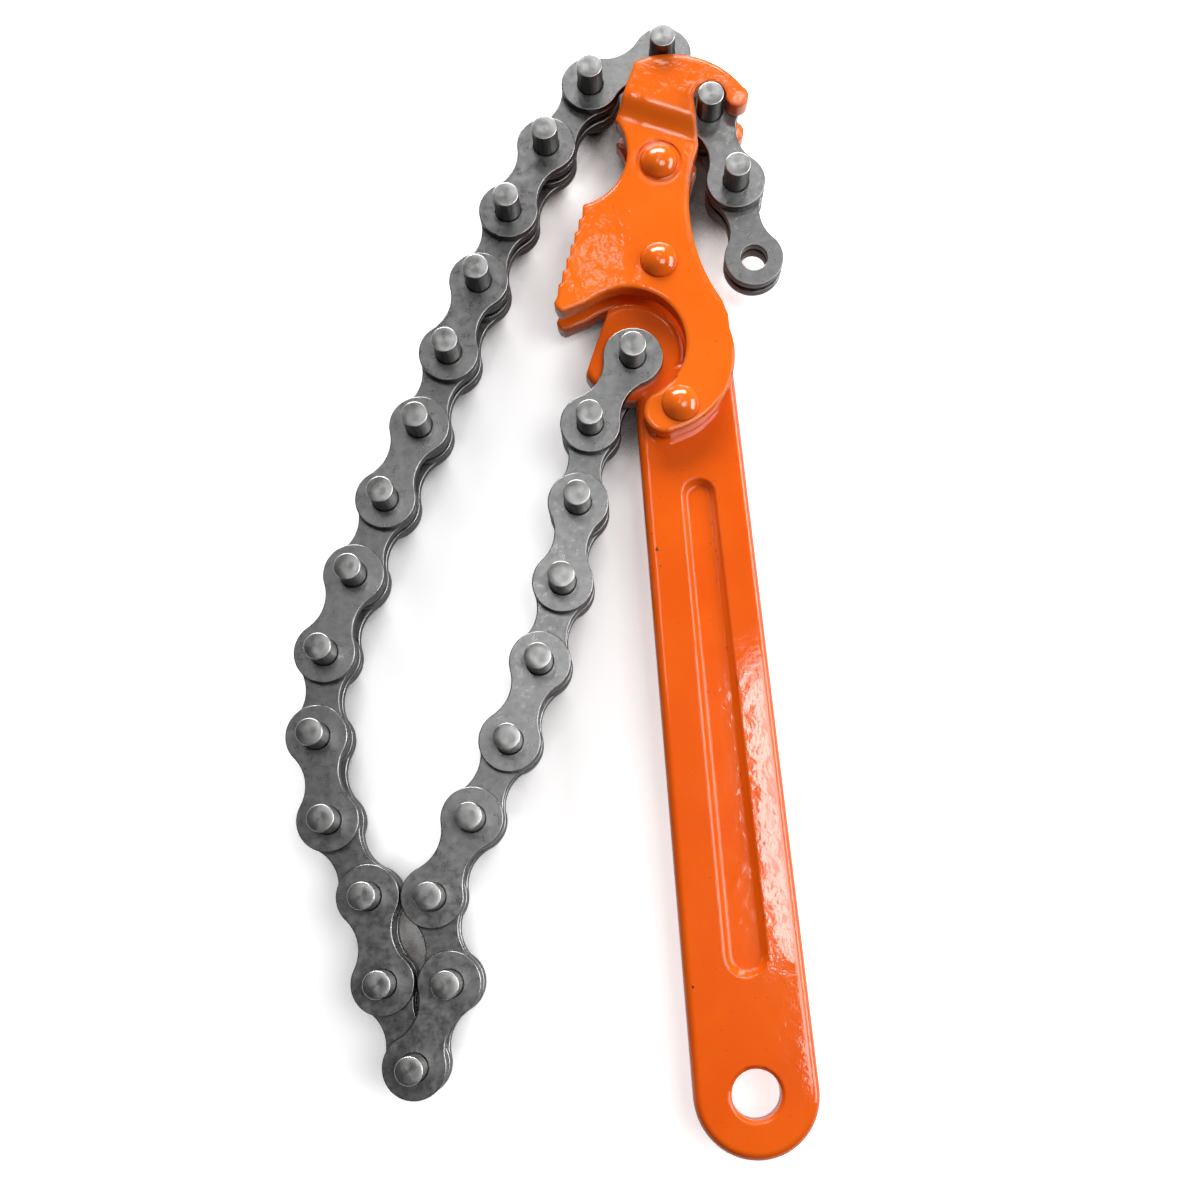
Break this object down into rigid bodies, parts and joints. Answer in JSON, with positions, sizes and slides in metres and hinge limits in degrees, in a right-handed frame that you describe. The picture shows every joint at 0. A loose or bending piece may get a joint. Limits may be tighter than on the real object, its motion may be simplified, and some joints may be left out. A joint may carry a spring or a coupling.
{
  "type": "chain oil filter wrench",
  "caption": "Chain wrench: painted flat handle with a hinged toothed two-plate head, and a pinned plate chain looped from the handle to the head's hook.",
  "frame": {"origin": "middle of the hanging hole at half the handle's thickness", "axes": "+Y along the handle from the hanging hole to the head, +Z along the hanging hole's axis and every hinge axis, out of the side that the picture shows, +X to the right"},
  "size_m": [0.1041, 0.2208, 0.0242],
  "materials": {
    "handle_paint": "gloss",
    "head_paint": "gloss",
    "rivet_paint": "gloss",
    "spacer_paint": "gloss",
    "outer_plate_steel": "satin",
    "inner_plate_steel": "satin",
    "pin_steel": "satin",
    "ring_steel": "satin"
  },
  "bodies": {
    "handle": {"handle": "handle_paint"},
    "head": {"front_jaw": "head_paint", "rear_jaw": "head_paint", "pivot_rivet": "rivet_paint", "middle_rivet": "rivet_paint", "upper_rivet": "rivet_paint", "middle_spacer": "spacer_paint", "upper_spacer": "spacer_paint"},
    "link_01": {"link_01_outer_plates": "outer_plate_steel", "link_01_pins": "pin_steel"},
    "link_02": {"link_02_inner_plates": "inner_plate_steel", "link_02_rings": "ring_steel"},
    "link_03": {"link_03_outer_plates": "outer_plate_steel", "link_03_pins": "pin_steel"},
    "link_04": {"link_04_inner_plates": "inner_plate_steel", "link_04_rings": "ring_steel"},
    "link_05": {"link_05_outer_plates": "outer_plate_steel", "link_05_pins": "pin_steel"},
    "link_06": {"link_06_inner_plates": "inner_plate_steel", "link_06_rings": "ring_steel"},
    "link_07": {"link_07_outer_plates": "outer_plate_steel", "link_07_pins": "pin_steel"},
    "link_08": {"link_08_inner_plates": "inner_plate_steel", "link_08_rings": "ring_steel"},
    "link_09": {"link_09_outer_plates": "outer_plate_steel", "link_09_pins": "pin_steel"},
    "link_10": {"link_10_inner_plates": "inner_plate_steel", "link_10_rings": "ring_steel"},
    "link_11": {"link_11_outer_plates": "outer_plate_steel", "link_11_pins": "pin_steel"},
    "link_12": {"link_12_inner_plates": "inner_plate_steel", "link_12_rings": "ring_steel"},
    "link_13": {"link_13_outer_plates": "outer_plate_steel", "link_13_pins": "pin_steel"},
    "link_14": {"link_14_inner_plates": "inner_plate_steel", "link_14_rings": "ring_steel"},
    "link_15": {"link_15_outer_plates": "outer_plate_steel", "link_15_pins": "pin_steel"},
    "link_16": {"link_16_inner_plates": "inner_plate_steel", "link_16_rings": "ring_steel"},
    "link_17": {"link_17_outer_plates": "outer_plate_steel", "link_17_pins": "pin_steel"},
    "link_18": {"link_18_inner_plates": "inner_plate_steel", "link_18_rings": "ring_steel"},
    "link_19": {"link_19_outer_plates": "outer_plate_steel", "link_19_pins": "pin_steel"},
    "link_20": {"link_20_inner_plates": "inner_plate_steel", "link_20_rings": "ring_steel"},
    "link_21": {"link_21_outer_plates": "outer_plate_steel", "link_21_pins": "pin_steel"},
    "link_22": {"link_22_inner_plates": "inner_plate_steel", "link_22_rings": "ring_steel"},
    "link_23": {"link_23_outer_plates": "outer_plate_steel", "link_23_pins": "pin_steel"},
    "link_24": {"link_24_inner_plates": "inner_plate_steel", "link_24_rings": "ring_steel"},
    "link_25": {"link_25_outer_plates": "outer_plate_steel", "link_25_pins": "pin_steel"},
    "link_26": {"link_26_inner_plates": "inner_plate_steel", "link_26_rings": "ring_steel"}
  },
  "joints": [
    {"name": "jaw_pivot", "type": "hinge", "parent": "handle", "child": "head", "pos_m": [0, 0.1288, 0], "axis": [0, 0, 1], "range_deg": [-12, 3]},
    {"name": "chain_hinge_01", "type": "hinge", "parent": "handle", "child": "link_01", "pos_m": [-0.00815, 0.14, 0], "axis": [0, 0, 1], "range_deg": [-21.16, 5.3]},
    {"name": "chain_hinge_02", "type": "hinge", "parent": "link_01", "child": "link_02", "pos_m": [-0.0177, 0.12732, 0], "axis": [0, 0, 1], "range_deg": [-3.58, 14.27]},
    {"name": "chain_hinge_03", "type": "hinge", "parent": "link_02", "child": "link_03", "pos_m": [-0.02154, 0.11192, 0], "axis": [0, 0, 1], "range_deg": [-1.87, 7.44]},
    {"name": "chain_hinge_04", "type": "hinge", "parent": "link_03", "child": "link_04", "pos_m": [-0.02592, 0.09666, 0], "axis": [0, 0, 1], "range_deg": [-5.41, 1.36]},
    {"name": "chain_hinge_05", "type": "hinge", "parent": "link_04", "child": "link_05", "pos_m": [-0.03161, 0.08184, 0], "axis": [0, 0, 1], "range_deg": [-5.45, 1.37]},
    {"name": "chain_hinge_06", "type": "hinge", "parent": "link_05", "child": "link_06", "pos_m": [-0.03857, 0.06757, 0], "axis": [0, 0, 1], "range_deg": [-5.41, 1.36]},
    {"name": "chain_hinge_07", "type": "hinge", "parent": "link_06", "child": "link_07", "pos_m": [-0.04674, 0.05396, 0], "axis": [0, 0, 1], "range_deg": [-5.58, 1.4]},
    {"name": "chain_hinge_08", "type": "hinge", "parent": "link_07", "child": "link_08", "pos_m": [-0.05516, 0.0405, 0], "axis": [0, 0, 1], "range_deg": [-2.33, 9.29]},
    {"name": "chain_hinge_09", "type": "hinge", "parent": "link_08", "child": "link_09", "pos_m": [-0.05322, 0.02474, 0], "axis": [0, 0, 1], "range_deg": [-46.8, 0.01]},
    {"name": "chain_hinge_10", "type": "hinge", "parent": "link_09", "child": "link_10", "pos_m": [-0.06068, 0.01073, 0], "axis": [0, 0, 1], "range_deg": [0, 60]},
    {"name": "chain_hinge_11", "type": "hinge", "parent": "link_10", "child": "link_11", "pos_m": [-0.06532, 0.02591, 0], "axis": [0, 0, 1], "range_deg": [-23.91, 0.01]},
    {"name": "chain_hinge_12", "type": "hinge", "parent": "link_11", "child": "link_12", "pos_m": [-0.06698, 0.04169, 0], "axis": [0, 0, 1], "range_deg": [-13.23, 0.01]},
    {"name": "chain_hinge_13", "type": "hinge", "parent": "link_12", "child": "link_13", "pos_m": [-0.0734, 0.05621, 0], "axis": [0, 0, 1], "range_deg": [-0.01, 6.5]},
    {"name": "chain_hinge_14", "type": "hinge", "parent": "link_13", "child": "link_14", "pos_m": [-0.07447, 0.07205, 0], "axis": [0, 0, 1], "range_deg": [-0.01, 6.5]},
    {"name": "chain_hinge_15", "type": "hinge", "parent": "link_14", "child": "link_15", "pos_m": [-0.07196, 0.08772, 0], "axis": [0, 0, 1], "range_deg": [-0.01, 6.5]},
    {"name": "chain_hinge_16", "type": "hinge", "parent": "link_15", "child": "link_16", "pos_m": [-0.06547, 0.10221, 0], "axis": [0, 0, 1], "range_deg": [-0.01, 6.5]},
    {"name": "chain_hinge_17", "type": "hinge", "parent": "link_16", "child": "link_17", "pos_m": [-0.05837, 0.11641, 0], "axis": [0, 0, 1], "range_deg": [-0.01, 6.5]},
    {"name": "chain_hinge_18", "type": "hinge", "parent": "link_17", "child": "link_18", "pos_m": [-0.05078, 0.13035, 0], "axis": [0, 0, 1], "range_deg": [-7.96, 0.01]},
    {"name": "chain_hinge_19", "type": "hinge", "parent": "link_18", "child": "link_19", "pos_m": [-0.04393, 0.14467, 0], "axis": [0, 0, 1], "range_deg": [-0.01, 6.5]},
    {"name": "chain_hinge_20", "type": "hinge", "parent": "link_19", "child": "link_20", "pos_m": [-0.03683, 0.15887, 0], "axis": [0, 0, 1], "range_deg": [-6.5, 0.01]},
    {"name": "chain_hinge_21", "type": "hinge", "parent": "link_20", "child": "link_21", "pos_m": [-0.02973, 0.17307, 0], "axis": [0, 0, 1], "range_deg": [-0.01, 6.5]},
    {"name": "chain_hinge_22", "type": "hinge", "parent": "link_21", "child": "link_22", "pos_m": [-0.02095, 0.1863, 0], "axis": [0, 0, 1], "range_deg": [-6.5, 0.01]},
    {"name": "chain_hinge_23", "type": "hinge", "parent": "link_22", "child": "link_23", "pos_m": [-0.01084, 0.19854, 0], "axis": [0, 0, 1], "range_deg": [-42.08, 0.01]},
    {"name": "chain_hinge_24", "type": "hinge", "parent": "link_23", "child": "link_24", "pos_m": [0.00422, 0.20356, 0], "axis": [0, 0, 1], "range_deg": [-0.01, 41.53]},
    {"name": "chain_hinge_25", "type": "hinge", "parent": "link_24", "child": "link_25", "pos_m": [0.0124, 0.18995, 0], "axis": [0, 0, 1], "range_deg": [-8, 100]},
    {"name": "chain_hinge_26", "type": "hinge", "parent": "link_25", "child": "link_26", "pos_m": [0.01597, 0.17448, 0], "axis": [0, 0, 1], "range_deg": [-12, 95]}
  ],
  "couplings": [
    {"joint": "chain_hinge_01", "follows": "jaw_pivot", "ratio": 1.7628},
    {"joint": "chain_hinge_02", "follows": "jaw_pivot", "ratio": -1.1885},
    {"joint": "chain_hinge_03", "follows": "jaw_pivot", "ratio": -0.6189},
    {"joint": "chain_hinge_04", "follows": "jaw_pivot", "ratio": 0.4502},
    {"joint": "chain_hinge_05", "follows": "jaw_pivot", "ratio": 0.4535},
    {"joint": "chain_hinge_06", "follows": "jaw_pivot", "ratio": 0.4501},
    {"joint": "chain_hinge_07", "follows": "jaw_pivot", "ratio": 0.4643},
    {"joint": "chain_hinge_08", "follows": "jaw_pivot", "ratio": -0.7734},
    {"joint": "chain_hinge_09", "follows": "chain_hinge_10", "ratio": -0.7797},
    {"joint": "chain_hinge_11", "follows": "chain_hinge_10", "ratio": -0.3983},
    {"joint": "chain_hinge_12", "follows": "chain_hinge_10", "ratio": -0.2203},
    {"joint": "chain_hinge_13", "follows": "chain_hinge_10", "ratio": 0.108},
    {"joint": "chain_hinge_14", "follows": "chain_hinge_10", "ratio": 0.108},
    {"joint": "chain_hinge_15", "follows": "chain_hinge_10", "ratio": 0.108},
    {"joint": "chain_hinge_16", "follows": "chain_hinge_10", "ratio": 0.108},
    {"joint": "chain_hinge_17", "follows": "chain_hinge_10", "ratio": 0.108},
    {"joint": "chain_hinge_18", "follows": "chain_hinge_10", "ratio": -0.1325},
    {"joint": "chain_hinge_19", "follows": "chain_hinge_10", "ratio": 0.108},
    {"joint": "chain_hinge_20", "follows": "chain_hinge_10", "ratio": -0.108},
    {"joint": "chain_hinge_21", "follows": "chain_hinge_10", "ratio": 0.108},
    {"joint": "chain_hinge_22", "follows": "chain_hinge_10", "ratio": -0.108},
    {"joint": "chain_hinge_23", "follows": "chain_hinge_10", "ratio": -0.7011},
    {"joint": "chain_hinge_24", "follows": "chain_hinge_10", "ratio": 0.6919}
  ]
}
